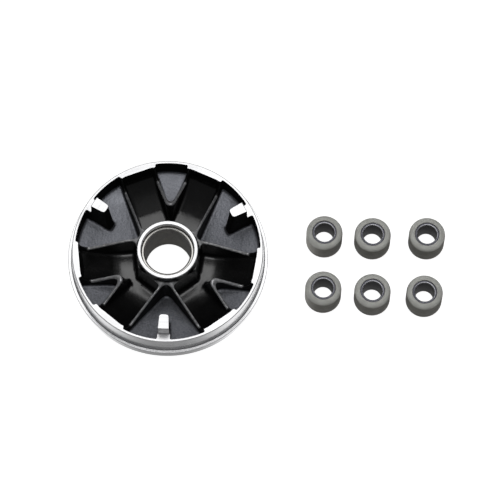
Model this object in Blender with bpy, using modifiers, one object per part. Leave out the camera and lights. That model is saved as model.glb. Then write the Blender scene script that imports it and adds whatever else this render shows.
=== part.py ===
"""Variator drive face of a small scooter's belt drive, laid out with its six roller weights.

The movable pulley half is a turned aluminium bowl, open upwards. Its outside is the belt cone
underneath, the flange and the rim. Its inside holds six roller channels, three narrow and three
wide pockets between them, three guide posts and the hub, with a bush pressed into it. The
weights are resin tyres on steel cores and stand on end at the pulley's +X side.

Sizes are in millimetres; MM turns them into metres. R is a radius from the part's own axis, and Z
a height above the plane that the hub's lower end and the rollers stand on. The origin is in that
plane, under the middle of the whole set.
"""

import math

import bmesh
import bpy

MM = 0.001

# --- bowl: outside ---------------------------------------------------------------------------
PULLEY_SEGMENTS = 72
HALF_FACET_DEG = 180.0 / PULLEY_SEGMENTS
FLANGE_R = 44.0
FLANGE_TOP_Z = 12.3
FLANGE_EDGE_Z = 8.0
EDGE_BREAK = 0.35
BELT_ANGLE_DEG = 14.0
RIM_TOP_R = 41.9
RIM_FOOT_R = 42.55
RIM_TOP_Z = 22.0
RIM_RELIEF_R = 42.15
RIM_RELIEF_Z = 13.0
RIM_RELIEF_SLOPE = 0.3  # height of the step from the relief out to the rim's foot
RIM_WALL_INNER_R = 40.7
BOWL_BORE_R = 12.4  # lies inside the hub's wall, which closes it

# --- facing of the rim -----------------------------------------------------------------------
FACING_STOCK = 0.6  # left above the rim's top until it is faced
RIM_CHAMFER = 0.8
RIM_CHAMFER_INSET = 0.25  # from RIM_TOP_R in to the chamfer's upper edge
FACING_OVERRUN = 2.0
FACING_POST_GAP = 0.02

# --- hub and bush ----------------------------------------------------------------------------
HUB_R = 13.4
HUB_TOP_Z = 23.5
HUB_TOP_BREAK = 0.25
HUB_FOOT_R = 14.3
HUB_FOOT_Z = 1.0
HUB_FOOT_SLOPE = 1.2
HUB_FOOT_BREAK = 0.3
HUB_BORE_LOW_CHAMFER = 0.5
HUB_BORE_TOP_CHAMFER = 0.4
BUSH_OUTER_R = 11.5
BUSH_INNER_R = 10.0
BUSH_LENGTH = 20.0
BUSH_LOW_Z = 0.6
BUSH_CHAMFER = 0.5
BUSH_OUTER_BREAK = 0.2
PRESS_GAP = 0.05  # on the radius, at the bush and at the roller cores

# --- the pattern inside ----------------------------------------------------------------------
# directions are measured about the pulley's axis, before the whole pattern is turned
PATTERN_TURN_DEG = -2.1
POCKET_PITCH_DEG = 60.0
NARROW_POCKETS_DEG = (90.0, 210.0, 330.0)
WIDE_POCKETS_DEG = tuple(narrow - POCKET_PITCH_DEG for narrow in NARROW_POCKETS_DEG)
CHANNEL_OFF_NARROW_DEG = 22.2
CHANNEL_OFF_WIDE_DEG = POCKET_PITCH_DEG - CHANNEL_OFF_NARROW_DEG

CHANNEL_WIDTH = 13.6
CHANNEL_START_TOP_R = 13.6
CHANNEL_START_FOOT_R = 14.0
CHANNEL_START_BREAK = 1.2
CHANNEL_LOW_Z = 4.3
# (radius, height) from the end of the flat near the hub, up the ramp to the end wall
CHANNEL_FLOOR = (
    (19.2, CHANNEL_LOW_Z), (24.4, 5.35), (29.0, 7.5), (34.0, 10.7), (38.5, 13.8),
)
CHANNEL_END_R = CHANNEL_FLOOR[-1][0]
# (radius, height) along the top of the ribs beside the channels, from the hub outwards
RIB_TOP = ((13.5, 20.2), (20.5, 18.8), (35.0, 13.5))
RIB_FILLET_R = 4.2
RIB_FILLET_STEPS = 4

SKIN = 3.5  # height of the pockets' floor above the belt cone
# a pocket's offset runs from a neighbouring channel's middle line to the pocket's side
NARROW_POCKET_OFFSET = 8.5
NARROW_POCKET_APEX_R = 1.5
WIDE_POCKET_OFFSET = 8.3
WIDE_POCKET_APEX_R = 2.0
APEX_HALF_STEPS = 2
POCKET_ARC_STEP_DEG = 5
POCKET_ARC_MIN_STEPS = 3
POCKET_ROOM_INNER_R = 8.0
POCKET_ROOM_OUTER_R = RIM_WALL_INNER_R + 4

NOSE_TOP_R = 22.8
NOSE_TOP_Z = 18.3
NOSE_FOOT_R = 18.9
NOSE_FOOT_Z = CHANNEL_LOW_Z
NOSE_BACK_R = CHANNEL_START_FOOT_R + 2.6
NOSE_CUT_WIDTH = 6.0

# --- guide posts, and the lands that join them to the rim ------------------------------------
POST_TOP_Z = 29.0
POST_INNER_R = 31.5
POST_INNER_FOOT_R = 29.2
POST_OUTER_R = 38.2
POST_OUTER_STOCK = 1.3  # beyond POST_OUTER_R, faced off above the rim
POST_INNER_WIDTH = 4.0
POST_OUTER_WIDTH = 4.8
POST_ROOT = 1.8  # height of the post's underside above the belt cone
POST_PLAN_INNER_MARGIN = 1.0
POST_PLAN_OUTER_MARGIN = 2.0
POST_SIDE_MARGIN = 4.0
LAND_WIDTH = 6.1
LAND_ROOT = 1.6
LAND_OUTER_R = RIM_WALL_INNER_R + 0.6
LAND_STOCK = 0.4  # above the rim's top, faced off

CUT_TOP_Z = 34.0  # clear of every part of the pulley
PLAN_FORM_HEIGHT = CUT_TOP_Z + 6.0

# --- roller weights --------------------------------------------------------------------------
ROLLER_SEGMENTS = 32
ROLLER_R = 8.0
ROLLER_HEIGHT = 13.0
ROLLER_ROUND = 1.8
ROLLER_ROUND_STEPS = 2
CORE_OUTER_R = 5.3
CORE_INNER_R = 4.2
CORE_RECESS = 0.5
CORE_CHAMFER = 0.35
AXIS_DISPLAY_SIZE = 10.0
# (x, y) of each centre from the pulley's axis
ROLLER_PLACES = (
    (69.0, 11.7), (90.3, 10.8), (114.3, 10.8),
    (68.3, -14.1), (89.9, -15.3), (112.8, -16.0),
)
# centres the set's length on the origin
PULLEY_X = -(max(x for x, _ in ROLLER_PLACES) + ROLLER_R - FLANGE_R) / 2

# --- mesh settings ---------------------------------------------------------------------------
SHARP_ANGLE_DEG = 32
TURNED_MERGE = 0.01
SLAB_MERGE = 0.001


def belt_z(r):
    """Height of the belt cone at radius r."""
    return FLANGE_EDGE_Z + (r - FLANGE_R) * math.tan(math.radians(BELT_ANGLE_DEG))


# --- modelling helpers -----------------------------------------------------------------------
def clear_scene():
    for obj in list(bpy.data.objects):
        bpy.data.objects.remove(obj, do_unlink=True)


def new_collection(name):
    collection = bpy.data.collections.new(name)
    bpy.context.scene.collection.children.link(collection)
    return collection


def add_object(name, data, collection):
    obj = bpy.data.objects.new(name, data)
    collection.objects.link(obj)
    return obj


def evaluated_mesh(obj):
    depsgraph = bpy.context.evaluated_depsgraph_get()
    return bpy.data.meshes.new_from_object(obj.evaluated_get(depsgraph))


def turned(name, profile, segments, collection):
    """A closed (radius, height) profile turned once about Z."""
    mesh = bpy.data.meshes.new(name)
    points = [(r * MM, 0.0, z * MM) for r, z in profile]
    count = len(points)
    mesh.from_pydata(points, [(i, (i + 1) % count) for i in range(count)], [])
    obj = add_object(name, mesh, collection)
    screw = obj.modifiers.new("turn", "SCREW")
    screw.axis = "Z"
    screw.angle = 2 * math.pi
    screw.steps = screw.render_steps = segments
    screw.use_merge_vertices = True
    screw.merge_threshold = TURNED_MERGE * MM
    solid = evaluated_mesh(obj)
    obj.modifiers.clear()
    obj.data = solid
    bpy.data.meshes.remove(mesh)
    solid.name = name
    solid.shade_smooth()
    solid.set_sharp_from_angle(angle=math.radians(SHARP_ANGLE_DEG))
    return obj


def slab(name, outline, thickness, collection, middle=0.0):
    """A flat XY outline as a closed solid, its thickness centred on z = middle."""
    curve = bpy.data.curves.new(name, "CURVE")
    curve.dimensions = "2D"
    curve.fill_mode = "BOTH"
    curve.extrude = thickness / 2 * MM
    spline = curve.splines.new("POLY")
    spline.points.add(len(outline) - 1)
    for point, (x, y) in zip(spline.points, outline):
        point.co = (x * MM, y * MM, 0.0, 1.0)
    spline.use_cyclic_u = True
    drawn = add_object(name + "_outline", curve, collection)
    mesh = evaluated_mesh(drawn)
    bpy.data.objects.remove(drawn, do_unlink=True)
    bpy.data.curves.remove(curve)
    # the curve's caps and sides come as separate faces, so they are joined here
    work = bmesh.new()
    work.from_mesh(mesh)
    bmesh.ops.remove_doubles(work, verts=work.verts, dist=SLAB_MERGE * MM)
    bmesh.ops.translate(work, verts=work.verts, vec=(0.0, 0.0, middle * MM))
    bmesh.ops.recalc_face_normals(work, faces=work.faces)
    work.to_mesh(mesh)
    work.free()
    mesh.name = name
    return add_object(name, mesh, collection)


def guide(obj):
    """Marks a cutter or an added form: shown as wire and never rendered."""
    obj.hide_render = True
    obj.display_type = "WIRE"
    return obj


def on_pulley(obj, turn_deg=0.0, tilt_deg=0.0):
    """Puts an object on the pulley's axis, tilted about its x and then turned about Z."""
    obj.rotation_euler = (math.radians(tilt_deg), 0.0, math.radians(turn_deg))
    obj.location = (PULLEY_X * MM, 0.0, 0.0)
    return obj


def side_form(kind, angle, outline, width, guides):
    """A guide from a (radius, height) outline, standing along the radius at angle."""
    form = guide(slab(f"{kind}_{angle:.0f}", outline, width, guides))
    return on_pulley(form, turn_deg=angle + PATTERN_TURN_DEG, tilt_deg=90)


def plan_form(kind, angle, outline, guides):
    """A tall guide from an outline seen from above, its x along the radius at angle."""
    name = f"{kind}_{angle:.0f}"
    form = guide(slab(name, outline, PLAN_FORM_HEIGHT, guides, middle=CUT_TOP_Z / 2))
    return on_pulley(form, turn_deg=angle + PATTERN_TURN_DEG)


def turned_guide(name, profile, guides, turn_deg=0.0):
    return on_pulley(guide(turned(name, profile, PULLEY_SEGMENTS, guides)), turn_deg)


def boolean(obj, operation, other):
    modifier = obj.modifiers.new(other.name, "BOOLEAN")
    modifier.operation = operation
    modifier.object = other
    modifier.solver = "EXACT"


# --- materials -------------------------------------------------------------------------------
def finish(name, colour, roughness, metallic):
    material = bpy.data.materials.new(name)
    material.use_nodes = True
    shader = next(n for n in material.node_tree.nodes if n.type == "BSDF_PRINCIPLED")
    shader.inputs["Base Color"].default_value = (*colour, 1.0)
    shader.inputs["Roughness"].default_value = roughness
    shader.inputs["Metallic"].default_value = metallic
    material.diffuse_color = (*colour, 1.0)
    return material


def coated_aluminium():
    return finish(
        "black_coated_aluminium", colour=(0.03, 0.03, 0.033), roughness=0.35, metallic=0.0
    )


def sintered_metal():
    return finish("sintered_bush", colour=(0.36, 0.35, 0.33), roughness=0.45, metallic=0.9)


def roller_resin():
    return finish("roller_resin", colour=(0.25, 0.25, 0.22), roughness=0.6, metallic=0.0)


def core_steel():
    return finish("roller_core_steel", colour=(0.10, 0.10, 0.11), roughness=0.35, metallic=0.9)


# --- bowl ------------------------------------------------------------------------------------
def rib_fillet():
    """A quarter round from the ribs' outer end up to the rim's upright inner wall."""
    start_r, start_z = RIB_TOP[-1]
    points = []
    for step in range(1, RIB_FILLET_STEPS + 1):
        turn = math.radians(90 * step / RIB_FILLET_STEPS)
        r = start_r + RIB_FILLET_R * math.sin(turn)
        z = start_z + RIB_FILLET_R * (1 - math.cos(turn))
        points.append((r, z))
    return points


def bowl_profile():
    """The bowl before the channels, pockets and hub, from the rim's top down its outside."""
    stock_z = RIM_TOP_Z + FACING_STOCK
    fillet = rib_fillet()
    return [
        (RIM_TOP_R, stock_z),
        (RIM_FOOT_R, RIM_RELIEF_Z + RIM_RELIEF_SLOPE),
        (RIM_RELIEF_R, RIM_RELIEF_Z),
        (RIM_RELIEF_R, FLANGE_TOP_Z),
        (FLANGE_R - EDGE_BREAK, FLANGE_TOP_Z),
        (FLANGE_R, FLANGE_TOP_Z - EDGE_BREAK),
        (FLANGE_R, FLANGE_EDGE_Z + EDGE_BREAK),
        (FLANGE_R - EDGE_BREAK, belt_z(FLANGE_R - EDGE_BREAK)),
        (BOWL_BORE_R, belt_z(BOWL_BORE_R)),
        (BOWL_BORE_R, RIB_TOP[0][1]),
        *RIB_TOP,
        *fillet,
        (fillet[-1][0], stock_z),
    ]


# --- roller channels -------------------------------------------------------------------------
def channel_outline():
    """A channel's opening: the drafted wall at the hub, the floor, the upright end wall."""
    rib_z = RIB_TOP[0][1]
    draft = (CHANNEL_START_FOOT_R - CHANNEL_START_TOP_R) / (rib_z - CHANNEL_LOW_Z)
    return [
        (CHANNEL_START_TOP_R - draft * (CUT_TOP_Z - rib_z), CUT_TOP_Z),
        (CHANNEL_START_FOOT_R, CHANNEL_LOW_Z + CHANNEL_START_BREAK),
        (CHANNEL_START_FOOT_R + CHANNEL_START_BREAK, CHANNEL_LOW_Z),
        *CHANNEL_FLOOR,
        (CHANNEL_END_R, CUT_TOP_Z),
    ]


def cut_channels(body, guides):
    for narrow in NARROW_POCKETS_DEG:
        for side in (-1, 1):
            angle = narrow + side * CHANNEL_OFF_NARROW_DEG
            cutter = side_form("channel", angle, channel_outline(), CHANNEL_WIDTH, guides)
            boolean(body, "DIFFERENCE", cutter)


# --- pockets ---------------------------------------------------------------------------------
def pocket_outline(off_deg, offset, apex_r):
    """Plan of a pocket: a rounded apex towards the hub, two sides parallel to the neighbouring
    channels, which lie off_deg to either side, and the rim's inner wall outside."""
    off = math.radians(off_deg)
    apex_x = (offset + apex_r) / math.sin(off)
    points = []
    # the apex runs from the +y side to the -y side, and the rim's arc back again
    for step in range(-APEX_HALF_STEPS, APEX_HALF_STEPS + 1):
        turn = math.pi + (math.pi / 2 - off) * step / APEX_HALF_STEPS
        points.append((apex_x + apex_r * math.cos(turn), apex_r * math.sin(turn)))
    half = off - math.asin(offset / RIM_WALL_INNER_R)
    steps = max(POCKET_ARC_MIN_STEPS, round(2 * math.degrees(half) / POCKET_ARC_STEP_DEG))
    for step in range(steps + 1):
        turn = -half + 2 * half * step / steps
        points.append((RIM_WALL_INNER_R * math.cos(turn), RIM_WALL_INNER_R * math.sin(turn)))
    return points


def pocket_room_profile():
    """Everything above the pockets' conical floor."""
    return [
        (POCKET_ROOM_OUTER_R, CUT_TOP_Z),
        (POCKET_ROOM_OUTER_R, belt_z(POCKET_ROOM_OUTER_R) + SKIN),
        (POCKET_ROOM_INNER_R, belt_z(POCKET_ROOM_INNER_R) + SKIN),
        (POCKET_ROOM_INNER_R, CUT_TOP_Z),
    ]


def cut_pockets(body, guides):
    room = turned_guide("pocket_room", pocket_room_profile(), guides)
    narrow = pocket_outline(CHANNEL_OFF_NARROW_DEG, NARROW_POCKET_OFFSET, NARROW_POCKET_APEX_R)
    wide = pocket_outline(CHANNEL_OFF_WIDE_DEG, WIDE_POCKET_OFFSET, WIDE_POCKET_APEX_R)
    for angles, outline in ((NARROW_POCKETS_DEG, narrow), (WIDE_POCKETS_DEG, wide)):
        for angle in angles:
            cutter = plan_form("pocket", angle, outline, guides)
            boolean(cutter, "INTERSECT", room)
            boolean(body, "DIFFERENCE", cutter)


# --- noses -----------------------------------------------------------------------------------
def nose_outline():
    """The space over the sloping nose where two channels meet inside a narrow pocket's apex."""
    return [
        (NOSE_FOOT_R, NOSE_FOOT_Z),
        (NOSE_TOP_R, NOSE_TOP_Z),
        (NOSE_TOP_R, CUT_TOP_Z),
        (NOSE_BACK_R, CUT_TOP_Z),
        (NOSE_BACK_R, NOSE_FOOT_Z),
    ]


def cut_noses(body, guides):
    for angle in NARROW_POCKETS_DEG:
        nose = side_form("nose", angle, nose_outline(), NOSE_CUT_WIDTH, guides)
        boolean(body, "DIFFERENCE", nose)


# --- hub -------------------------------------------------------------------------------------
def hub_profile():
    seat_r = BUSH_OUTER_R + PRESS_GAP
    return [
        (HUB_R - HUB_TOP_BREAK, HUB_TOP_Z),
        (HUB_R, HUB_TOP_Z - HUB_TOP_BREAK),
        (HUB_R, HUB_FOOT_Z + HUB_FOOT_SLOPE),
        (HUB_FOOT_R, HUB_FOOT_Z),
        (HUB_FOOT_R, HUB_FOOT_BREAK),
        (HUB_FOOT_R - HUB_FOOT_BREAK, 0.0),
        (BUSH_OUTER_R + HUB_BORE_LOW_CHAMFER, 0.0),
        (seat_r, HUB_BORE_LOW_CHAMFER),
        (seat_r, HUB_TOP_Z - HUB_BORE_TOP_CHAMFER),
        (BUSH_OUTER_R + HUB_BORE_TOP_CHAMFER, HUB_TOP_Z),
    ]


def add_hub(body, guides):
    boolean(body, "UNION", turned_guide("hub_tube", hub_profile(), guides, HALF_FACET_DEG))


# --- guide posts and lands -------------------------------------------------------------------
def post_side():
    outer = POST_OUTER_R + POST_OUTER_STOCK
    return [
        (POST_INNER_FOOT_R, belt_z(POST_INNER_FOOT_R) + POST_ROOT),
        (outer, belt_z(outer) + POST_ROOT),
        (outer, POST_TOP_Z),
        (POST_INNER_R, POST_TOP_Z),
    ]


def post_half_width(r):
    slope = (POST_OUTER_WIDTH - POST_INNER_WIDTH) / 2 / (POST_OUTER_R - POST_INNER_R)
    return POST_INNER_WIDTH / 2 + (r - POST_INNER_R) * slope


def post_plan():
    """A post's wedge from above, overrunning both of its ends."""
    inner = POST_INNER_FOOT_R - POST_PLAN_INNER_MARGIN
    outer = POST_OUTER_R + POST_PLAN_OUTER_MARGIN
    return [
        (inner, -post_half_width(inner)),
        (outer, -post_half_width(outer)),
        (outer, post_half_width(outer)),
        (inner, post_half_width(inner)),
    ]


def land_side():
    return [
        (POST_OUTER_R, belt_z(POST_OUTER_R) + LAND_ROOT),
        (LAND_OUTER_R, belt_z(LAND_OUTER_R) + LAND_ROOT),
        (LAND_OUTER_R, RIM_TOP_Z + LAND_STOCK),
        (POST_OUTER_R, RIM_TOP_Z + LAND_STOCK),
    ]


def add_posts(body, guides):
    """A land and a post in each wide pocket."""
    width = POST_OUTER_WIDTH + POST_SIDE_MARGIN
    for angle in WIDE_POCKETS_DEG:
        boolean(body, "UNION", side_form("land", angle, land_side(), LAND_WIDTH, guides))
        plan = plan_form("post_plan", angle, post_plan(), guides)
        post = side_form("post", angle, post_side(), width, guides)
        boolean(post, "INTERSECT", plan)
        boolean(body, "UNION", post)


# --- facing ----------------------------------------------------------------------------------
def facing_profile():
    """The space over the faced rim: it leaves the rim's top flat, its outer edge chamfered and
    the posts' outer faces upright."""
    chamfer_r = RIM_TOP_R - RIM_CHAMFER_INSET
    return [
        (FLANGE_R + FACING_OVERRUN, CUT_TOP_Z),
        (FLANGE_R + FACING_OVERRUN, RIM_TOP_Z - RIM_CHAMFER),
        (chamfer_r + RIM_CHAMFER, RIM_TOP_Z - RIM_CHAMFER),
        (chamfer_r, RIM_TOP_Z),
        (POST_OUTER_R + FACING_POST_GAP, RIM_TOP_Z),
        (POST_OUTER_R + FACING_POST_GAP, CUT_TOP_Z),
    ]


def face_rim(body, guides):
    facing = turned_guide("rim_facing", facing_profile(), guides, HALF_FACET_DEG)
    boolean(body, "DIFFERENCE", facing)


# --- whole pieces ----------------------------------------------------------------------------
def build_pulley(parts, guides):
    body = on_pulley(turned("pulley_body", bowl_profile(), PULLEY_SEGMENTS, parts))
    # the hub comes after the cuts, which reach into its wall; facing trims all that is added
    for shape in (cut_channels, cut_pockets, cut_noses, add_hub, add_posts, face_rim):
        shape(body, guides)
    body.data.materials.append(coated_aluminium())


def bush_profile():
    low = BUSH_LOW_Z
    top = low + BUSH_LENGTH
    return [
        (BUSH_OUTER_R - BUSH_OUTER_BREAK, top),
        (BUSH_OUTER_R, top - BUSH_OUTER_BREAK),
        (BUSH_OUTER_R, low + BUSH_OUTER_BREAK),
        (BUSH_OUTER_R - BUSH_OUTER_BREAK, low),
        (BUSH_INNER_R + BUSH_CHAMFER, low),
        (BUSH_INNER_R, low + BUSH_CHAMFER),
        (BUSH_INNER_R, top - BUSH_CHAMFER),
        (BUSH_INNER_R + BUSH_CHAMFER, top),
    ]


def build_bush(parts):
    bush = turned("hub_bush", bush_profile(), PULLEY_SEGMENTS, parts)
    on_pulley(bush, HALF_FACET_DEG)
    bush.data.materials.append(sintered_metal())


def tyre_profile():
    bore_r = CORE_OUTER_R + PRESS_GAP
    upper = []
    for step in range(ROLLER_ROUND_STEPS + 1):
        turn = math.radians(90 - 90 * step / ROLLER_ROUND_STEPS)
        r = ROLLER_R - ROLLER_ROUND * (1 - math.cos(turn))
        z = ROLLER_HEIGHT - ROLLER_ROUND * (1 - math.sin(turn))
        upper.append((r, z))
    lower = [(r, ROLLER_HEIGHT - z) for r, z in reversed(upper)]
    return upper + lower + [(bore_r, 0.0), (bore_r, ROLLER_HEIGHT)]


def core_profile():
    low = CORE_RECESS
    top = ROLLER_HEIGHT - CORE_RECESS
    return [
        (CORE_OUTER_R, top),
        (CORE_OUTER_R, low),
        (CORE_INNER_R + CORE_CHAMFER, low),
        (CORE_INNER_R, low + CORE_CHAMFER),
        (CORE_INNER_R, top - CORE_CHAMFER),
        (CORE_INNER_R + CORE_CHAMFER, top),
    ]


def build_rollers(parts):
    """Six rollers on empties; the later ones share the first one's meshes."""
    tyre = turned("roller_1_tyre", tyre_profile(), ROLLER_SEGMENTS, parts)
    tyre.data.materials.append(roller_resin())
    core = turned("roller_1_core", core_profile(), ROLLER_SEGMENTS, parts)
    core.data.materials.append(core_steel())
    for number, (x, y) in enumerate(ROLLER_PLACES, start=1):
        axis = add_object(f"roller_{number}_axis", None, parts)
        axis.location = ((PULLEY_X + x) * MM, y * MM, 0.0)
        axis.empty_display_size = AXIS_DISPLAY_SIZE * MM
        if number > 1:
            tyre = add_object(f"roller_{number}_tyre", tyre.data, parts)
            core = add_object(f"roller_{number}_core", core.data, parts)
        tyre.parent = axis
        core.parent = axis


def main():
    clear_scene()
    parts = new_collection("cvt_pulley_set")
    guides = new_collection("cutters")
    build_pulley(parts, guides)
    build_bush(parts)
    build_rollers(parts)


main()
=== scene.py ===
"""One half of a belt pulley with its hub bush and loose rollers, on a pale floor.

The pulley half lies with its axis along +Z and its lower end face at z = 0: the belt cone is
underneath, the roller channels, pockets and guide posts face up. The camera looks from -Y.
Lengths are in millimetres where a mesh is shaped, and in metres in the scene.
"""

import math
from functools import reduce
from itertools import product

import bmesh
import bpy
import numpy as np
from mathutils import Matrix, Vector


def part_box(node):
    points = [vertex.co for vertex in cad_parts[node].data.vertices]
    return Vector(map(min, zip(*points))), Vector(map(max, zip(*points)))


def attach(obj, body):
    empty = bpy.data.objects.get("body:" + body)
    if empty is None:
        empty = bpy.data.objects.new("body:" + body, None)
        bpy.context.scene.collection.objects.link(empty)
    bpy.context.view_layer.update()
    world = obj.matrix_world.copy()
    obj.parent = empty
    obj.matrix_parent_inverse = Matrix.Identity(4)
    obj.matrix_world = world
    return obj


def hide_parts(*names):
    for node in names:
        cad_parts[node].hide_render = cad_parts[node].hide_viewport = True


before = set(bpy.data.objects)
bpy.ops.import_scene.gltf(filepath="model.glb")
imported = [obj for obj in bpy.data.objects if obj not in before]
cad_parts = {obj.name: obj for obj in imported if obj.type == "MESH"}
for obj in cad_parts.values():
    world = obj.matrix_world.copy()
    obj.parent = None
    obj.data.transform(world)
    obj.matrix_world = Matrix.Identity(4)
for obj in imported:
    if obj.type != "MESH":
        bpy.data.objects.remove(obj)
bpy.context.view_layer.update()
MM = 0.001

# ---------------------------------------------------------------------------------------------
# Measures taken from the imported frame
# ---------------------------------------------------------------------------------------------
body_lo, body_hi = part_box("pulley_body")
bush_lo, bush_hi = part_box("hub_bush")
AXIS_X = (body_lo.x + body_hi.x) / 2
AXIS_Y = (body_lo.y + body_hi.y) / 2
PULLEY_PLACE = (AXIS_X, AXIS_Y, 0.0)
FLANGE_R = (body_hi.x - body_lo.x) / 2 / MM
POST_TOP_Z = body_hi.z / MM
BUSH_OUTER_R = (bush_hi.x - bush_lo.x) / 2 / MM
BUSH_LOW_Z, BUSH_TOP_Z = bush_lo.z / MM, bush_hi.z / MM

# ---------------------------------------------------------------------------------------------
# The pulley half's design, in millimetres from its axis and its lower end face
# ---------------------------------------------------------------------------------------------
TURN = math.radians(-2.1)  # of the whole pattern, from +Y
SECTOR = 2 * math.pi / 3  # the pattern repeats three times
WIDE_ANGLE = math.pi / 3  # from a narrow pocket's axis to a wide pocket's
FLANGE_TOP_Z, FLANGE_EDGE_Z = 12.3, 8.0
BELT_SLOPE = math.tan(math.radians(14.0))
RIM_TOP_R, RIM_FOOT_R, RIM_TOP_Z = 41.9, 42.55, 22.0
RIM_WALL_INNER_R = 40.7
HUB_R, HUB_TOP_Z = 13.4, 23.5
CHANNEL_ANGLE = math.radians(22.2)  # from a narrow pocket's axis
CHANNEL_HALF, CHANNEL_END = 6.8, 38.5
CHANNEL_FLOOR_Z = 4.3
# (distance along the channel, height): flat, then curving up outwards
CHANNEL_FLOOR = (
    (13.5, CHANNEL_FLOOR_Z), (19.2, CHANNEL_FLOOR_Z), (20.5, 4.43), (21.8, 4.65), (23.1, 4.96),
) + tuple((24.4 + step, 5.33 + 0.40 * step + 0.0142 * step * step) for step in range(15))
# (radius, height) of the ribs' tops
RIB_TOP = ((13.5, 20.2), (20.5, 18.8), (35.0, 13.5), (36.5, 13.5))
RIB_TOP_SOFT = 1.5
NARROW_OFFSET, WIDE_OFFSET = 8.5, 8.3  # pocket walls from the channels' centre lines
SKIN = 3.5  # metal between the pockets and the belt cone, measured upright
DRAFT, DRAFT_Z = math.tan(math.radians(1.2)), 8.0  # draft, and the height it is measured from
POST_INNER, POST_OUTER_R = 31.5, 38.2
POST_END = 41.8  # outer end of the posts and lands before machining

# metal left for the lathe: outside and below, on top faces, and under posts and lands
STOCK, TOP_STOCK, FOOT_STOCK = 1.2, 1.0, 0.6


def belt_z(r):
    return FLANGE_EDGE_Z + (r - FLANGE_R) * BELT_SLOPE


def folded_angle(x, y):
    """Angle from the nearest narrow pocket's axis, with the mirrored halves laid together."""
    theta = np.arctan2(y, x) - TURN - math.pi / 2
    return np.abs((theta + SECTOR / 2) % SECTOR - SECTOR / 2)


def ramp(distance, width):
    return np.clip(distance / width, 0.0, 1.0)


def overlap(*distances):
    """The metal that all the shapes share, with sharp corners."""
    return reduce(np.maximum, distances)


def soft_max(a, b, width):
    """The larger of two distances, blended over a width: a rounded inner or outer corner."""
    h = np.maximum(width - np.abs(a - b), 0.0) / width
    return np.maximum(a, b) + h * h * width * 0.25


def soft_min(a, b, width):
    return -soft_max(-a, -b, width)


def smooth_line(x, knots, soft):
    """Height along a broken line whose corners are blended over soft, and its slope."""
    xs, zs = np.array([knot[0] for knot in knots]), np.array([knot[1] for knot in knots])
    slopes = np.diff(zs) / np.diff(xs)
    value = zs[0] + slopes[0] * (x - xs[0])
    slope = np.full_like(x, slopes[0])
    for i in range(1, len(slopes)):
        bend = slopes[i] - slopes[i - 1]
        t = np.clip((x - xs[i] + soft) / (2 * soft), 0.0, 1.0)
        over = np.where(x > xs[i] + soft, x - xs[i], soft * t * t)
        value = value + bend * over
        slope = slope + bend * t
    return value, slope


# ---------------------------------------------------------------------------------------------
# The casting as signed distances: below zero inside each shape
# ---------------------------------------------------------------------------------------------
def hub_flat(z):
    """Distance along a channel to the flat wall at the hub that it starts from."""
    return 13.6 + (RIB_TOP[0][1] - z) * 0.025


def blank_distance(r, z, along):
    """The turned blank: rib tops falling outwards, then a round up to the rim."""
    round_from_r, round_width, round_rise, round_slope = 34.6, 4.9, 10.5, 1.4
    ring_inner_r, ring_top_z = 39.3, 24.0
    rib, rib_slope = smooth_line(r, RIB_TOP, RIB_TOP_SOFT)
    t = ramp(r - round_from_r, round_width)
    rib = rib + round_rise * (1.0 - np.sqrt(np.maximum(1.0 - t * t, 0.0)))
    top = (z - rib) / np.sqrt(1.0 + rib_slope * rib_slope + (round_slope * t) ** 2)
    ring = overlap(np.minimum(ring_inner_r - r, CHANNEL_END + 0.1 - along), z - ring_top_z)
    sides = r - (FLANGE_R + STOCK)
    return overlap(np.minimum(top, ring), sides, belt_z(r) - STOCK - z, -STOCK - z)


def channel_distance(along, across, z, lift):
    """One roller channel, with rounded corners at its floor, outer end and hub end."""
    floor_round, end_round, hub_round = 1.6, 1.2, 2.0
    floor, slope = smooth_line(along, CHANNEL_FLOOR, 0.5)
    bottom = (floor - z) / np.sqrt(1.0 + slope * slope)
    room = soft_max(np.abs(across) - CHANNEL_HALF - lift, bottom, floor_round)
    room = soft_max(room, along - CHANNEL_END - lift * 0.6, end_round)
    return soft_max(room, hub_flat(z) - along, hub_round)


def nose_distance(ahead, aside, along, z):
    """The room over the sloping nose in front of each narrow pocket."""
    nose_at, nose_z, half_width, hub_gap = 18.9, 5.0, 3.4, 0.6
    normal_out, normal_down = 0.958, 0.285
    slope = (ahead - nose_at) * normal_out - (z - nose_z) * normal_down
    return overlap(
        slope, aside - half_width, CHANNEL_FLOOR_Z - z, hub_flat(z) + hub_gap - along)


def pocket_distance(side_a, side_b, offset, corner_round, r, z, lift):
    """A pocket between two channels, given the distances across their centre lines."""
    rim_round, floor_round = 1.0, 0.9
    room = soft_max(side_a + offset - lift, side_b + offset - lift, corner_round)
    room = soft_max(room, r - RIM_WALL_INNER_R - lift * 0.3, rim_round)
    floor = (belt_z(r) + SKIN - z) / math.sqrt(1.0 + BELT_SLOPE * BELT_SLOPE)
    return soft_max(room, floor, floor_round)


def post_distance(ahead, aside, r, z, lift):
    """A guide post and its land at the rim, measured from the wide pocket's axis."""
    half_width, widening, draft_part = 2.0, 0.0625, 0.6
    face_rise, face_run = 21.0, 2.3  # slope of the post's inner face
    land_half, land_inner = 2.75, POST_OUTER_R - 0.05
    post_round, join_round = 1.2, 0.7
    post_half = half_width + (ahead - POST_INNER) * widening
    post_half = post_half - (z - RIM_TOP_Z) * DRAFT * draft_part
    face = (POST_INNER - ahead) * face_rise - (POST_TOP_Z - z) * face_run
    face = face / math.hypot(face_rise, face_run)
    end, foot = ahead - POST_END, belt_z(r) - FOOT_STOCK - z
    post = soft_max(aside - post_half, face, post_round)
    post = overlap(post, end, z - POST_TOP_Z - TOP_STOCK, foot)
    land_sides = aside - land_half + lift * 0.5
    land = overlap(land_sides, land_inner - ahead, end, z - RIM_TOP_Z - TOP_STOCK, foot)
    return soft_min(post, land, join_round)


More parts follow.
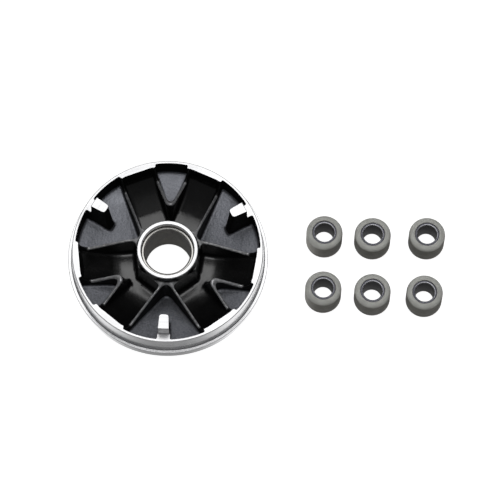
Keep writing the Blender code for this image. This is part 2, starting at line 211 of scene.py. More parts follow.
def casting_distance(x, y, z):
    """Signed distance, in millimetres, to the pulley half's casting before machining. A point
    is folded into the sixth of a turn between a narrow pocket's axis and a wide pocket's."""
    r = np.sqrt(x * x + y * y) + 1e-9
    fold = folded_angle(x, y)
    lift = (z - DRAFT_Z) * DRAFT
    # along and across the narrow pocket's axis, the channel, and the channel's mirror image
    ahead, aside = r * np.cos(fold), r * np.sin(fold)
    sine, cosine = math.sin(CHANNEL_ANGLE), math.cos(CHANNEL_ANGLE)
    along, across = ahead * cosine + aside * sine, -ahead * sine + aside * cosine
    along_m, across_m = ahead * cosine - aside * sine, -ahead * sine - aside * cosine
    # along and across the wide pocket's axis
    sine, cosine = math.sin(WIDE_ANGLE), math.cos(WIDE_ANGLE)
    wide_ahead = ahead * cosine + aside * sine
    wide_aside = np.abs(-ahead * sine + aside * cosine)

    rooms = np.minimum(
        channel_distance(along, across, z, lift), channel_distance(along_m, across_m, z, lift))
    nose_blend = 0.3 + 1.5 * ramp(z - 8.0, 3.0)
    rooms = soft_min(rooms, nose_distance(ahead, aside, along, z), nose_blend)
    narrow = pocket_distance(across, across_m, NARROW_OFFSET, 4.6, r, z, lift)
    sine, cosine = math.sin(WIDE_ANGLE - CHANNEL_ANGLE), math.cos(WIDE_ANGLE - CHANNEL_ANGLE)
    side_a = -wide_ahead * sine + wide_aside * cosine
    side_b = -wide_ahead * sine - wide_aside * cosine
    wide = pocket_distance(side_a, side_b, WIDE_OFFSET, 4.0, r, z, lift)
    rooms = np.minimum(rooms, np.minimum(narrow, wide))

    edge_round, hub_round, post_round, hub_taper = 1.1, 1.0, 0.8, 0.008
    metal = soft_max(blank_distance(r, z, along), -rooms, edge_round)
    hub_side = r - HUB_R - (HUB_TOP_Z - z) * hub_taper
    hub = overlap(hub_side, z - HUB_TOP_Z - TOP_STOCK, -STOCK - z)
    metal = soft_min(metal, hub, hub_round)
    posts = post_distance(wide_ahead, wide_aside, r, z, lift)
    return overlap(soft_min(metal, posts, post_round), -STOCK - z)


# ---------------------------------------------------------------------------------------------
# Meshing
# ---------------------------------------------------------------------------------------------
def grid_part(shape, ends):
    """Slices that drop one layer of a grid on each axis in ends: the last for 0, the first
    for 1."""
    part = [slice(None)] * 3
    for axis, end in ends.items():
        part[axis] = slice(end, shape[axis] - 1 + end)
    return tuple(part)


def settle(field, step):
    """Fills grid faces whose corners alternate in and out, so that no edge gets four faces."""
    just_inside = -0.02 * step
    for _ in range(12):
        changed = False
        for first, second in ((0, 1), (1, 2), (0, 2)):
            corners = [
                grid_part(field.shape, {first: p, second: q})
                for p, q in ((0, 0), (1, 0), (0, 1), (1, 1))
            ]
            a, b, c, d = (field[corner] < 0 for corner in corners)
            odd = a & d & ~b & ~c
            even = b & c & ~a & ~d
            field[corners[1]][odd] = just_inside
            field[corners[0]][even] = just_inside
            changed = changed or odd.any() or even.any()
        if not changed:
            break


def surface_nets(distance, low, high, step):
    """A quad mesh of the zero level of a distance field: one point in each cell that the surface
    crosses, at the mean of its edge crossings, and one quad round each crossed grid edge."""
    axes = [np.arange(start, end + step, step) for start, end in zip(low, high)]
    shape = tuple(len(axis) for axis in axes)
    field = np.empty(shape, np.float32)
    grid_x, grid_y = np.meshgrid(axes[0], axes[1], indexing="ij")
    for k, height in enumerate(axes[2]):
        field[:, :, k] = distance(grid_x, grid_y, np.full_like(grid_x, height))
    settle(field, step)

    inside = field < 0
    cell_shape = tuple(size - 1 for size in shape)
    total = np.zeros(cell_shape + (3,), np.float32)
    count = np.zeros(cell_shape, np.float32)
    crossed = []
    for axis in range(3):
        starts, ends = grid_part(shape, {axis: 0}), grid_part(shape, {axis: 1})
        start, end = field[starts], field[ends]
        cut = inside[starts] != inside[ends]
        t = np.where(cut, start / np.where(cut, start - end, 1.0), 0.0)
        crossed.append((cut, inside[starts]))
        second, third = (other for other in range(3) if other != axis)
        for p, q in product((0, 1), repeat=2):
            part = grid_part(shape, {second: p, third: q})
            cut_here = cut[part]
            count += cut_here
            total[..., axis] += np.where(cut_here, t[part], 0.0)
            total[..., second] += cut_here * p
            total[..., third] += cut_here * q

    used = count > 0
    index = np.full(used.shape, -1, np.int64)
    index[used] = np.arange(int(used.sum()))
    cells = np.argwhere(used)
    points = np.stack([
        axes[i][0] + step * (cells[:, i] + total[used][:, i] / count[used]) for i in range(3)
    ], axis=1)

    faces = []
    for axis, (cut, from_inside) in enumerate(crossed):
        second, third = (axis + 1) % 3, (axis + 2) % 3
        inner, offset = [slice(None)] * 3, [0, 0, 0]
        for other in (second, third):
            inner[other] = slice(1, -1)
            offset[other] = 1
        edges = np.argwhere(cut[tuple(inner)]) + offset
        flip = ~from_inside[tuple(edges.T)]
        quad = []
        for p, q in ((0, 0), (1, 0), (1, 1), (0, 1)):
            cell = edges.copy()
            cell[:, second] -= p
            cell[:, third] -= q
            quad.append(index[tuple(cell.T)])
        quad = np.stack(quad, axis=1)
        quad[flip] = quad[flip][:, ::-1]
        faces.append(quad)
    return points, np.concatenate(faces)


def mesh_of(name, points, faces):
    """A mesh from points in metres and faces that all have the same number of corners."""
    mesh = bpy.data.meshes.new(name)
    faces = np.asarray(faces, np.int32)
    mesh.vertices.add(len(points))
    mesh.vertices.foreach_set("co", np.asarray(points, np.float32).ravel())
    mesh.loops.add(faces.size)
    mesh.loops.foreach_set("vertex_index", faces.ravel())
    mesh.polygons.add(len(faces))
    loop_starts = np.arange(0, faces.size, faces.shape[1], dtype=np.int32)
    mesh.polygons.foreach_set("loop_start", loop_starts)
    mesh.update(calc_edges=True)
    mesh.validate()
    return mesh


def turned_mesh(name, profile, segments):
    """A closed (radius, height) profile in millimetres turned about Z; the profile runs down
    its outer side."""
    profile = np.array(profile, float)
    n = len(profile)
    angles = 2 * math.pi * np.arange(segments) / segments
    points = np.stack([
        np.cos(angles)[:, None] * profile[None, :, 0],
        np.sin(angles)[:, None] * profile[None, :, 0],
        np.broadcast_to(profile[None, :, 1], (segments, n)),
    ], axis=2).reshape(-1, 3)
    faces = []
    for s in range(segments):
        t = (s + 1) % segments
        for i in range(n):
            j = (i + 1) % n
            faces.append((s * n + i, s * n + j, t * n + j, t * n + i))
    return mesh_of(name, points * MM, faces)


def arc(center_r, center_z, radius, start, end, steps):
    """Profile points round a centre, from start to end in degrees."""
    angles = [math.radians(start + (end - start) * i / steps) for i in range(steps + 1)]
    return [
        (center_r + radius * math.cos(angle), center_z + radius * math.sin(angle))
        for angle in angles
    ]


def face_radii(mesh, face):
    corners = (mesh.vertices[i].co for i in face.vertices)
    return [math.hypot(corner.x, corner.y) / MM for corner in corners]


def sharpen(mesh, degrees, between_materials=True, only_material=None):
    """Smooth shading, with sharp edges where two materials meet and at corners over an angle."""
    work = bmesh.new()
    work.from_mesh(mesh)
    limit = math.radians(degrees)
    for face in work.faces:
        face.smooth = True
    for edge in work.edges:
        if len(edge.link_faces) != 2:
            continue
        materials = {face.material_index for face in edge.link_faces}
        corner = edge.calc_face_angle(0.0) > limit
        if only_material is not None:
            corner = corner and materials == {only_material}
        edge.smooth = not (corner or between_materials and len(materials) > 1)
    work.to_mesh(mesh)
    work.free()


def add_piece(name, mesh, body, node, place):
    obj = bpy.data.objects.new(name, mesh)
    bpy.context.scene.collection.objects.link(obj)
    obj.location = place
    bpy.context.view_layer.update()
    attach(obj, body)
    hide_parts(node)


# ---------------------------------------------------------------------------------------------
# Materials
# ---------------------------------------------------------------------------------------------
class NodeTree:
    """Short calls for a node tree: each method adds nodes and returns the last one's output."""

    interpolation = "LINEAR"
    spare = ()  # values for a math node's unused inputs

    def __init__(self, tree):
        self.tree = tree

    def link(self, value, socket):
        if hasattr(value, "is_output"):
            self.tree.links.new(value, socket)
        else:
            socket.default_value = value

    def fill(self, node, **inputs):
        for key, value in inputs.items():
            self.link(value, node.inputs[key.replace("_", " ")])

    def node(self, kind, **inputs):
        node = self.tree.nodes.new("ShaderNode" + kind)
        self.fill(node, **inputs)
        return node

    def coords(self, kind="Object"):
        return self.node("TexCoord").outputs[kind]

    def math(self, operation, *values, clamp=False):
        node = self.node("Math")
        node.operation = operation
        node.use_clamp = clamp
        for value, socket in zip(values + self.spare, node.inputs):
            self.link(value, socket)
        return node.outputs[0]

    def add(self, a, b, clamp=False):
        return self.math("ADD", a, b, clamp=clamp)

    def times(self, a, b):
        return self.math("MULTIPLY", a, b)

    def weighted(self, first, second):
        """The sum of two (value, weight) pairs."""
        return self.add(self.times(*first), self.times(*second))

    def length(self, a, b):
        return self.math("SQRT", self.add(self.times(a, a), self.times(b, b)))

    def split(self, vector):
        return self.node("SeparateXYZ", Vector=vector).outputs

    def join(self, x, y, z):
        return self.node("CombineXYZ", X=x, Y=y, Z=z).outputs[0]

    def noise(self, vector, scale, detail=3.0, roughness=0.55, distortion=0.0):
        return self.node("TexNoise", Vector=vector, Scale=scale, Detail=detail,
                         Roughness=roughness, Distortion=distortion).outputs[0]

    def cells(self, vector, scale):
        return self.node("TexVoronoi", Vector=vector, Scale=scale).outputs["Distance"]

    def fade(self, value, over, to=(0.0, 1.0)):
        """Carries the range over onto the range to, held at both ends."""
        node = self.node("MapRange", Value=value, From_Min=over[0], From_Max=over[1],
                         To_Min=to[0], To_Max=to[1])
        node.interpolation_type = self.interpolation
        return node.outputs[0]

    def mix(self, factor, a, b):
        """Colour a at factor 0, colour b at factor 1."""
        node = self.node("Mix")
        node.data_type = "RGBA"
        self.link(factor, node.inputs["Factor"])
        for value, socket in ((a, node.inputs[6]), (b, node.inputs[7])):
            self.link((*value, 1.0) if isinstance(value, tuple) else value, socket)
        return node.outputs[2]

    def bump(self, height, strength, distance):
        return self.node("Bump", Strength=strength, Distance=distance, Height=height).outputs[0]

    def attribute(self, name):
        node = self.node("Attribute")
        node.attribute_name = name
        return node.outputs["Fac"]

    def tangent(self):
        node = self.node("Tangent")
        node.direction_type = "RADIAL"
        node.axis = "Z"
        return node.outputs[0]


class Surface(NodeTree):
    """A new material with one principled shader."""

    interpolation = "SMOOTHSTEP"
    spare = (0.0, 0.0)

    def __init__(self, name):
        self.material = bpy.data.materials.new(name)
        self.material.use_nodes = True
        super().__init__(self.material.node_tree)
        self.tree.nodes.clear()
        output = self.node("OutputMaterial")
        self.shader = self.node("BsdfPrincipled")
        self.link(self.shader.outputs[0], output.inputs["Surface"])

    def set(self, **inputs):
        self.fill(self.shader, **inputs)


def turned_metal(name, colour, rough, marks=1.0, metallic=1.0, aniso=0.55, tone=0.12,
                 finer_from=None, **inputs):
    """Metal faced on a lathe: fine rings round the axis, a faint drift in tone and a few marks.
    Beyond the radius finer_from the cut is finer and shinier."""
    n = Surface(name)
    x, y, z = n.split(n.coords())
    r = n.length(x, y)
    rings = n.join(r, n.times(z, 1.0), 0.0)
    fine = n.noise(rings, scale=5200.0, detail=2.0, roughness=0.6)
    broad = n.noise(rings, scale=900.0, detail=2.0, roughness=0.5)
    drift = n.noise(n.coords(), scale=55.0, roughness=0.5)
    specks = n.noise(n.coords(), scale=1500.0, detail=2.0, roughness=0.6)
    darker = tuple(c * (1.0 - tone) for c in colour)
    speck_colour = tuple(c * 0.55 for c in colour)
    shade = n.fade(n.weighted((broad, 0.6), (drift, 0.4)), over=(0.35, 0.65))
    base = n.mix(shade, darker, colour)
    base = n.mix(n.fade(specks, over=(0.68, 0.76), to=(0.0, 0.45)), base, speck_colour)
    roughness = n.fade(n.weighted((fine, 0.5), (drift, 0.5)),
                       over=(0.3, 0.7), to=(rough * 0.8, rough * 1.3))
    if finer_from is not None:
        edge = ((finer_from - 0.05) * MM, (finer_from + 0.05) * MM)
        roughness = n.math("MULTIPLY_ADD", n.fade(r, over=edge), -0.05, roughness)
    n.set(Base_Color=base, Metallic=metallic, Roughness=roughness, Anisotropic=aniso,
          Tangent=n.tangent(), **inputs)
    height = n.weighted((fine, 0.6), (broad, 0.4))
    n.set(Normal=n.bump(height, strength=0.25 * marks, distance=0.00004))
    return n.material


def coated_casting():
    """Satin black coat over die-cast metal. The channels are smooth and glossy, the pockets keep
    the casting's grain and catch more dust."""
    gloss_dark, gloss_light = (0.0052, 0.0053, 0.0054), (0.0078, 0.0079, 0.0082)
    matte_dark, matte_light = (0.172, 0.177, 0.196), (0.322, 0.332, 0.366)
    lint_colour = (0.07, 0.07, 0.074)
    highlight_near, highlight_hub, highlight_far = (0.45, 0.45, 0.46), (0.68, 0.68, 0.69), (0.33, 0.33, 0.34)

    n = Surface("black_coat")
    p = n.coords()
    pocket = n.attribute("pocket")
    grain = n.noise(p, scale=1500.0, roughness=0.62)
    pebble = n.cells(p, scale=950.0)
    cloud = n.noise(p, scale=90.0, detail=4.0, distortion=0.3)
    flow = n.noise(p, scale=320.0, roughness=0.5)
    gloss = n.mix(n.fade(cloud, over=(0.35, 0.7)), gloss_dark, gloss_light)
    patches = n.fade(n.weighted((grain, 0.6), (cloud, 0.4)), over=(0.35, 0.68))
    base = n.mix(pocket, gloss, n.mix(patches, matte_dark, matte_light))
    lint = n.noise(p, scale=2600.0, detail=1.0, roughness=0.5)
    base = n.mix(n.fade(lint, over=(0.74, 0.8), to=(0.0, 0.35)), base, lint_colour)
    # painted highlight: the ribs' rounded tops get a lighter, partly metallic colour for the
    # light they catch
    lip = n.attribute("lip")
    highlight_breakup = n.noise(p, scale=700.0, roughness=0.6)
    painted_highlight = n.times(lip, n.fade(highlight_breakup, over=(0.3, 0.6), to=(0.55, 1.0)))
    # the painted highlight is uneven: brightest beside the hub, faintest on the far (+Y) half
    far = n.fade(n.split(p)[1], over=(0.004, 0.018))
    near = n.fade(n.split(p)[1], over=(-0.016, -0.004))
    base = n.mix(painted_highlight, base, n.mix(far, n.mix(near, highlight_near, highlight_hub), highlight_far))
    metallic = n.math("MAXIMUM", n.times(pocket, 0.94), n.times(lip, 0.35))

    # the sheen drops a little on the far half and a lot on the steep walls
    wall = n.attribute("wall")
    sheen = n.math("MULTIPLY_ADD", far, -0.09, 1.61)
    ior = n.add(sheen, n.times(wall, -0.42))
    rough_gloss = n.fade(n.weighted((flow, 0.5), (cloud, 0.5)),
                         over=(0.3, 0.7), to=(0.15, 0.26))
    rough_matte = n.fade(grain, over=(0.3, 0.7), to=(0.40, 0.54))
    rough = n.weighted((n.math("SUBTRACT", 1.0, pocket), rough_gloss), (pocket, rough_matte))
    n.set(Base_Color=base, Metallic=metallic, IOR=ior,
          Roughness=n.add(rough, n.times(wall, 0.4), clamp=True))
    # the cast grain: faint outside the pockets, full inside them
    relief = n.weighted((grain, 0.7), (pebble, 0.5))
    soft = n.times(flow, 0.25)
    height = n.add(soft, n.times(relief, n.add(0.12, n.times(pocket, 0.88))))
    n.set(Normal=n.bump(height, strength=0.75, distance=0.00013))
    return n.material


def liner_metal():
    """The bush's grey dry liner: satin, with faint grey and bronze specks and marks round it."""
    dark, light, bronze = (0.135, 0.131, 0.124), (0.225, 0.219, 0.206), (0.29, 0.27, 0.235)
    n = Surface("bush_liner")
    p = n.coords()
    x, y, z = n.split(p)
    angle = n.math("ARCTAN2", y, x)
    around = n.join(n.times(angle, 0.01), 0.0, n.times(z, 1.0))
    lines = n.noise(around, scale=2600.0, detail=2.0, roughness=0.6)
    specks = n.noise(p, scale=1900.0, detail=2.0, roughness=0.65)
    cloud = n.noise(p, scale=160.0, roughness=0.5)
    base = n.mix(n.fade(specks, over=(0.42, 0.62)), dark, light)
    base = n.mix(n.fade(cloud, over=(0.4, 0.7), to=(0.0, 0.5)), base, bronze)
    n.set(Base_Color=base, Metallic=0.85,
          Roughness=n.fade(lines, over=(0.3, 0.7), to=(0.34, 0.5)))
    height = n.weighted((lines, 0.6), (specks, 0.5))
    n.set(Normal=n.bump(height, strength=0.35, distance=0.00005))
    return n.material


def resin():
    """Moulded olive-grey resin of the roller tyres: chalky skin, fine flecks, soft mottling."""
    skin_dark, skin_light = (0.415, 0.416, 0.388), (0.490, 0.491, 0.460)
    fleck_colour, grain_colour = (0.53, 0.53, 0.50), (0.26, 0.26, 0.24)
    shaded_run_dark, shaded_run_light = (0.150, 0.143, 0.123), (0.215, 0.206, 0.181)

    n = Surface("roller_resin_skin")
    p = n.coords()
    grain = n.noise(p, scale=2100.0, roughness=0.6)
    mottle = n.noise(p, scale=260.0, detail=4.0, roughness=0.6, distortion=0.4)
    flecks = n.cells(p, scale=1700.0)
    base = n.mix(n.fade(mottle, over=(0.35, 0.68)), skin_dark, skin_light)
    base = n.mix(n.fade(flecks, over=(0.10, 0.26), to=(0.4, 0.0)), base, fleck_colour)
    base = n.mix(n.fade(grain, over=(0.60, 0.74), to=(0.0, 0.45)), base, grain_colour)
    # painted shade: the running face is coloured darker than the end faces, and browner
    facing = n.math("ABSOLUTE", n.split(n.coords("Normal"))[2])
    side = n.fade(facing, over=(0.0, 0.75), to=(1.0, 0.0))
    x, y, z = n.split(p)
    stretched = n.join(n.times(x, 0.1), n.times(y, 0.1), z)
    rings = n.noise(stretched, scale=1300.0, detail=2.0, roughness=0.6)
    streaks = n.fade(n.weighted((rings, 0.6), (mottle, 0.4)), over=(0.36, 0.64))
    base = n.mix(side, base, n.mix(streaks, shaded_run_dark, shaded_run_light))
    n.set(Base_Color=base, IOR=1.48, Roughness=n.fade(grain, over=(0.3, 0.7), to=(0.5, 0.68)))
    height = n.weighted((grain, 0.7), (mottle, 0.5))
    n.set(Normal=n.bump(height, strength=0.5, distance=0.00009))
    return n.material


def floor_paper():
    """A bright table to the camera, a dimmer one to everything that mirrors it."""
    seen_glow, least_glow, ring_glow, mirrored_glow = 0.95, 0.12, 0.95, 0.13
    inner_edge, outer_edge = (0.022, 0.034), (0.053, 0.066)  # metres from the pulley's axis
    n = Surface("floor_white")
    path = n.node("LightPath").outputs
    # painted light: the glow is a ring under the pulley, seen by everything but the camera,
    # duller on the camera's side (-Y) as a painted shadow
    x, y, _ = n.split(n.coords())
    dx, dy = n.math("SUBTRACT", x, AXIS_X), n.math("SUBTRACT", y, AXIS_Y)
    away = n.length(dx, dy)
    ring = n.times(n.fade(away, over=inner_edge), n.fade(away, over=outer_edge, to=(1.0, 0.0)))
    toward_back = n.math("DIVIDE", dy, n.add(away, 0.001))
    sides = n.times(n.fade(toward_back, over=(-1.0, -0.65)), ring)
    direct = n.math("MULTIPLY_ADD", sides, ring_glow, least_glow)
    mirrored = n.times(path["Is Glossy Ray"], n.fade(away, over=inner_edge))
    dull = n.add(direct, n.times(mirrored, mirrored_glow))
    strength = n.math(
        "MULTIPLY_ADD", path["Is Camera Ray"], n.math("SUBTRACT", seen_glow, dull), dull)
    n.set(Base_Color=(0.35, 0.35, 0.35, 1.0), Roughness=0.9,
          Emission_Color=(1.0, 1.0, 1.0, 1.0), Emission_Strength=strength)
    return n.material


# ---------------------------------------------------------------------------------------------
# The pulley half: casting, then machining
# ---------------------------------------------------------------------------------------------
def machining_profile():
    """(radius, height) of what the lathe leaves: every face on this profile is bright, all that
    lies inside stays as cast and coated."""
    post = POST_OUTER_R
    bore = BUSH_OUTER_R + 0.05
    foot_r, belt_inner_r = 14.30, 14.65  # the hub's foot, and the belt cone's inner edge
    return [
        # guide posts
        (post - 0.25, POST_TOP_Z),
        (post, POST_TOP_Z - 0.25),
        (post, RIM_TOP_Z + 0.18),
        # rim
        (post + 0.18, RIM_TOP_Z),
        (RIM_TOP_R - 0.30, RIM_TOP_Z),
        (RIM_TOP_R - 0.09, RIM_TOP_Z - 0.09),
        (RIM_TOP_R, RIM_TOP_Z - 0.30),
        (RIM_FOOT_R - 0.02, FLANGE_TOP_Z + 0.26),
        (RIM_FOOT_R + 0.05, FLANGE_TOP_Z + 0.09),
        (RIM_FOOT_R + 0.22, FLANGE_TOP_Z),
        # flange
        (FLANGE_R - 0.20, FLANGE_TOP_Z),
        (FLANGE_R - 0.06, FLANGE_TOP_Z - 0.06),
        (FLANGE_R, FLANGE_TOP_Z - 0.20),
        (FLANGE_R, FLANGE_EDGE_Z + 0.40),
        (FLANGE_R - 0.12, FLANGE_EDGE_Z + 0.12),
        # belt cone and the hub's foot
        (FLANGE_R - 0.40, belt_z(FLANGE_R - 0.40)),
        (belt_inner_r, belt_z(belt_inner_r)),
        (14.45, belt_z(belt_inner_r) + 0.02),
        (foot_r, belt_z(belt_inner_r) - 0.12),
        (foot_r, 0.30),
        (14.00, 0.00),
        # bore
        (bore + 0.45, 0.00),
        (bore, 0.45),
        (bore, HUB_TOP_Z - 0.40),
        (bore + 0.35, HUB_TOP_Z),
        # hub top, then straight up inside the posts
        (HUB_R - 0.28, HUB_TOP_Z),
        (HUB_R - 0.06, HUB_TOP_Z - 0.10),
        (HUB_R + 0.25, HUB_TOP_Z - 0.45),
        (HUB_R + 0.25, POST_TOP_Z),
    ]


def is_closed(mesh):
    work = bmesh.new()
    work.from_mesh(mesh)
    closed = all(len(edge.link_faces) == 2 for edge in work.edges)
    work.free()
    return closed


def casting_mesh(step):
    """The casting, on the first of a few slightly shifted grids that gives a closed mesh."""
    half, low_z, high_z = 45.6, -1.9, POST_TOP_Z + 2.0
    for attempt in range(6):
        shift = 0.037 * attempt
        low = (-half - shift, -half - shift, low_z - shift)
        points, faces = surface_nets(casting_distance, low, (half, half, high_z), step)
        mesh = mesh_of("casting", points * MM, faces)
        if is_closed(mesh):
            return mesh
    raise RuntimeError("the casting isn't closed")


def pulley_mesh(step, coat, bright):
    casting = casting_mesh(step)
    envelope = turned_mesh("machining", machining_profile(), segments=288)
    work = []
    for index, mesh in enumerate((casting, envelope)):
        mesh.materials.append(coat)
        mesh.materials.append(bright)
        indices = np.full(len(mesh.polygons), index, np.int32)
        mesh.polygons.foreach_set("material_index", indices)
        obj = bpy.data.objects.new(mesh.name + "_work", mesh)
        bpy.context.scene.collection.objects.link(obj)
        work.append(obj)
    modifier = work[0].modifiers.new("machined", "BOOLEAN")
    modifier.operation = "INTERSECT"
    modifier.solver = "MANIFOLD"
    modifier.object = work[1]
    depsgraph = bpy.context.evaluated_depsgraph_get()
    machined = bpy.data.meshes.new_from_object(work[0].evaluated_get(depsgraph))
    # a failed boolean hands back the uncut casting without an error
    if max(vertex.co.x for vertex in machined.vertices) > (FLANGE_R + 0.01) * MM:
        raise RuntimeError("the machining didn't cut the casting")
    for obj in work:
        mesh = obj.data
        bpy.data.objects.remove(obj, do_unlink=True)
        bpy.data.meshes.remove(mesh)
    return machined


def mark_areas(mesh):
    """Three 0 to 1 values at each vertex: "pocket" on the pockets' floors, where the cast grain
    shows through the coat, "lip" on the ribs' tops, which carry a painted highlight, and "wall"
    on the steep sides of pockets and posts, where the coat is dull."""
    points = np.empty(len(mesh.vertices) * 3, np.float32)
    mesh.vertices.foreach_get("co", points)
    x, y, z = (points.reshape(-1, 3) / MM).T
    r = np.sqrt(x * x + y * y) + 1e-9
    across = -r * np.sin(CHANNEL_ANGLE - folded_angle(x, y))
    beside = np.abs(across) - CHANNEL_HALF  # distance outside the channel's side
    floor = belt_z(r) + SKIN
    rib, _ = smooth_line(r, RIB_TOP, RIB_TOP_SOFT)
    # each ramp is one border of the area and the width it fades over
    pocket = ramp(beside - 1.1, 0.4) * ramp(floor + 0.9 - z, 0.4) * ramp(r - 14.3, 0.6)
    lip = ramp(z - rib + 1.15, 0.5) * ramp(r - 14.0, 0.4) * ramp(35.8 - r, 0.6)
    lip *= ramp(rib + 0.9 - z, 0.4) * ramp(3.0 - beside, 0.4)
    wall = ramp(beside - 0.9, 0.4) * (1.0 - lip) * (1.0 - pocket) * ramp(r - 14.6, 0.4)
    for name, value in (("pocket", pocket), ("lip", lip), ("wall", wall)):
        attribute = mesh.attributes.new(name, "FLOAT", "POINT")
        attribute.data.foreach_set("value", value.astype(np.float32))


def build_pulley():
    coat = coated_casting()
    bright = turned_metal("machined_aluminium", colour=(0.585, 0.585, 0.592), rough=0.27,
                          finer_from=RIM_TOP_R + 0.05)
    mesh = pulley_mesh(0.455, coat, bright)
    mark_areas(mesh)
    sharpen(mesh, 14, only_material=1)
    add_piece("pulley_body_machined", mesh, "pulley", "pulley_body",
              place=PULLEY_PLACE)


# ---------------------------------------------------------------------------------------------
# Hub bush
# ---------------------------------------------------------------------------------------------
def build_bush():
    top, low = BUSH_TOP_Z, BUSH_LOW_Z
    outer, wall = BUSH_OUTER_R, BUSH_OUTER_R - 1.5
    # (radius, height), with broken outer edges and chamfers into the bore
    profile = [
        (outer - 0.28, top), (outer - 0.08, top - 0.08), (outer, top - 0.28),
        (outer, low + 0.28), (outer - 0.08, low + 0.08), (outer - 0.28, low),
        (wall + 0.62, low), (wall + 0.55, low + 0.03),
        (wall + 0.05, low + 0.55), (wall, low + 0.66),
        (wall, top - 0.66), (wall + 0.05, top - 0.55),
        (wall + 0.55, top - 0.03), (wall + 0.62, top),
    ]
    liner = liner_metal()
    chamfer = turned_metal("bright_chamfer", colour=(0.42, 0.41, 0.39), rough=0.26, marks=0.6,
                           aniso=0.3)
    mesh = turned_mesh("hub_bush_fine", profile, segments=192)
    mesh.materials.append(liner)
    mesh.materials.append(chamfer)
    for face in mesh.polygons:
        radii = face_radii(mesh, face)
        in_bore = max(radii) < wall + 0.02
        outside = min(radii) > outer - 0.3
        face.material_index = 0 if in_bore or outside else 1
    sharpen(mesh, 14)
    add_piece("hub_bush_fine", mesh, "pulley", "hub_bush",
              place=PULLEY_PLACE)


# ---------------------------------------------------------------------------------------------
# Rollers
# ---------------------------------------------------------------------------------------------
def tyre_mesh(name, radius, height, core_r, material):
    edge, lip = 1.8, 0.35  # rounds at the running face and at the core
    seat = core_r + 0.05
    profile = [(seat + lip, height)]
    profile += arc(radius - edge, height - edge, edge, start=90, end=0, steps=10)
    profile += arc(radius - edge, edge, edge, start=0, end=-90, steps=10)
    profile += [(seat + lip, 0.0)]
    profile += arc(seat + lip, lip, lip, start=-90, end=-180, steps=4)[1:]
    profile += arc(seat + lip, height - lip, lip, start=180, end=90, steps=4)[:-1]
    mesh = turned_mesh(name, profile, segments=128)
    mesh.materials.append(material)
    sharpen(mesh, 40)
    return mesh


def core_mesh(name, radius, low, high, materials):
    """The steel sleeve; its materials are for the outside and ends, the bore, and the rounds
    between the bore and the ends."""
    wall, turn, edge = radius - 1.1, 0.45, 0.14
    profile = [(radius - edge, high), (radius, high - edge)]
    profile += [(radius, low + edge), (radius - edge, low)]
    profile += arc(wall + turn, low + turn, turn, start=-90, end=-180, steps=5)
    profile += arc(wall + turn, high - turn, turn, start=180, end=90, steps=5)
    mesh = turned_mesh(name, profile, segments=96)
    for material in materials:
        mesh.materials.append(material)
    for face in mesh.polygons:
        reach = max(face_radii(mesh, face))
        if reach < wall + 0.01:
            face.material_index = 1
        elif reach < wall + turn + 0.01:
            face.material_index = 2
    sharpen(mesh, 30, between_materials=False)
    return mesh


def build_rollers():
    skin = resin()
    core_materials = (
        turned_metal("core_steel", colour=(0.088, 0.088, 0.104), rough=0.30, marks=0.8,
                     tone=0.3, aniso=0.2),
        # painted shade: the bore is coloured near black, far darker than the sleeve's outside,
        # for the shade inside it
        turned_metal("core_bore", colour=(0.010, 0.0095, 0.013), rough=0.45, marks=0.8,
                     metallic=0.3, tone=0.4, aniso=0.2, IOR=1.32),
        turned_metal("core_chamfer", colour=(0.48, 0.48, 0.50), rough=0.25, marks=0.6,
                     aniso=0.7),
    )
    tyres = [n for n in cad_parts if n.startswith("roller_") and n.endswith("_tyre")]
    for number in sorted(int(node.split("_")[1]) for node in tyres):
        roller = f"roller_{number}"
        tyre, core = roller + "_tyre", roller + "_core"
        lo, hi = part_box(tyre)
        core_lo, core_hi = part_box(core)
        place = ((lo.x + hi.x) / 2, (lo.y + hi.y) / 2, lo.z)
        core_r = (core_hi.x - core_lo.x) / 2 / MM
        mesh = tyre_mesh(
            tyre + "_fine", (hi.x - lo.x) / 2 / MM, (hi.z - lo.z) / MM, core_r, skin)
        add_piece(tyre + "_fine", mesh, roller, tyre, place=place)
        mesh = core_mesh(core + "_fine", core_r, (core_lo.z - lo.z) / MM,
                         (core_hi.z - lo.z) / MM, core_materials)
        add_piece(core + "_fine", mesh, roller, core, place=place)


# ---------------------------------------------------------------------------------------------
# Stage: pale floor, soft light, camera (metres)
# ---------------------------------------------------------------------------------------------
def add_aimed(name, data, location, backward):
    """A lamp or camera that looks against the direction backward."""
    obj = bpy.data.objects.new(name, data)
    obj.location = location
    obj.rotation_euler = backward.to_track_quat("Z", "Y").to_euler()
    bpy.context.scene.collection.objects.link(obj)
    return obj


def add_softbox(name, azimuth, elevation, distance, size_x, size_y, power):
    """A rectangular lamp aimed at the origin; azimuth 0 is the camera's side (-Y), positive
    towards +X."""
    light = bpy.data.lights.new(name, "AREA")
    light.shape = "RECTANGLE"
    light.size, light.size_y = size_x, size_y
    light.energy = power
    a, e = math.radians(azimuth), math.radians(elevation)
    direction = Vector((math.sin(a) * math.cos(e), -math.cos(a) * math.cos(e), math.sin(e)))
    add_aimed(name, light, direction * distance, direction)


def build_floor():
    mesh = bpy.data.meshes.new("floor")
    work = bmesh.new()
    bmesh.ops.create_grid(work, x_segments=2, y_segments=2, size=3.0)
    work.to_mesh(mesh)
    work.free()
    floor = bpy.data.objects.new("floor", mesh)
    floor.location = (0.0, 0.0, -0.0002)
    bpy.context.scene.collection.objects.link(floor)
    mesh.materials.append(floor_paper())


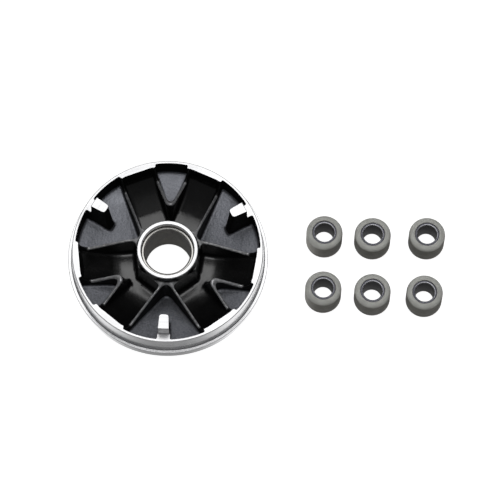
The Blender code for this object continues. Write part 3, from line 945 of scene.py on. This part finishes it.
def build_lights():
    add_softbox("key_softbox", azimuth=180.0, elevation=82.0, distance=1.3,
                size_x=0.69, size_y=1.00, power=5.35)
    add_softbox("front_fill", azimuth=0.0, elevation=60.0, distance=1.7,
                size_x=1.05, size_y=0.60, power=0.55)
    # a narrow lamp over the rollers, clear of the pulley; metal doesn't mirror it
    lamp = bpy.data.lights.new("roller_lamp", "SPOT")
    lamp.energy = 24.0
    lamp.spot_size = math.radians(4.2)
    lamp.spot_blend = 0.15
    lamp.shadow_soft_size = 0.06
    location = (AXIS_X + 0.098, AXIS_Y + 0.02, 1.3)
    over = add_aimed("roller_lamp", lamp, location, Vector((0.0, 0.02, 1.3)))
    over.visible_glossy = False


def build_world():
    """Dim above, paper walls low down: bright behind and at the sides, dimmer at the camera."""
    world = bpy.data.worlds.new("studio")
    bpy.context.scene.world = world
    world.use_nodes = True
    n = NodeTree(world.node_tree)
    x, y, z = n.split(n.coords("Generated"))
    low_down = n.fade(z, over=(0.10, 0.30), to=(1.0, 0.0))
    walls = n.fade(y, over=(-0.6, -0.1), to=(0.22, 0.75))
    # two faint patches overhead, left and right, that light the foot of the rim
    sideways = n.math("ABSOLUTE", x)
    borders = (
        n.fade(sideways, over=(0.24, 0.36)),
        n.fade(sideways, over=(0.46, 0.60), to=(1.0, 0.0)),
        n.fade(y, over=(-0.34, -0.16)),
        n.fade(y, over=(0.0, 0.14), to=(1.0, 0.0)),
    )
    patches = n.fade(z, over=(0.5, 0.7), to=(0.0, 0.6))
    patches = reduce(n.times, borders, patches)
    least_light = 0.10
    strength = n.math("MULTIPLY_ADD", low_down, walls, n.add(patches, least_light))
    n.fill(n.tree.nodes["Background"], Color=(0.97, 0.985, 1.0, 1.0), Strength=strength)


def build_camera():
    """A long lens at the viewing angle, looking at the middle of the set."""
    elevation, distance = math.radians(71.28), 1.5
    target = Vector((AXIS_X + 0.0361, AXIS_Y + 0.0003, RIM_TOP_Z * MM))
    camera = bpy.data.cameras.new("camera")
    camera.sensor_width = 36.0
    camera.lens = 246.672
    camera.clip_end = 20.0
    direction = Vector((0.0, -math.cos(elevation), math.sin(elevation)))
    scene = bpy.context.scene
    scene.camera = add_aimed("camera", camera, target + direction * distance, direction)
    scene.view_settings.view_transform = "Standard"
    scene.view_settings.look = "None"


build_pulley()
build_bush()
build_rollers()
build_floor()
build_lights()
build_world()
build_camera()
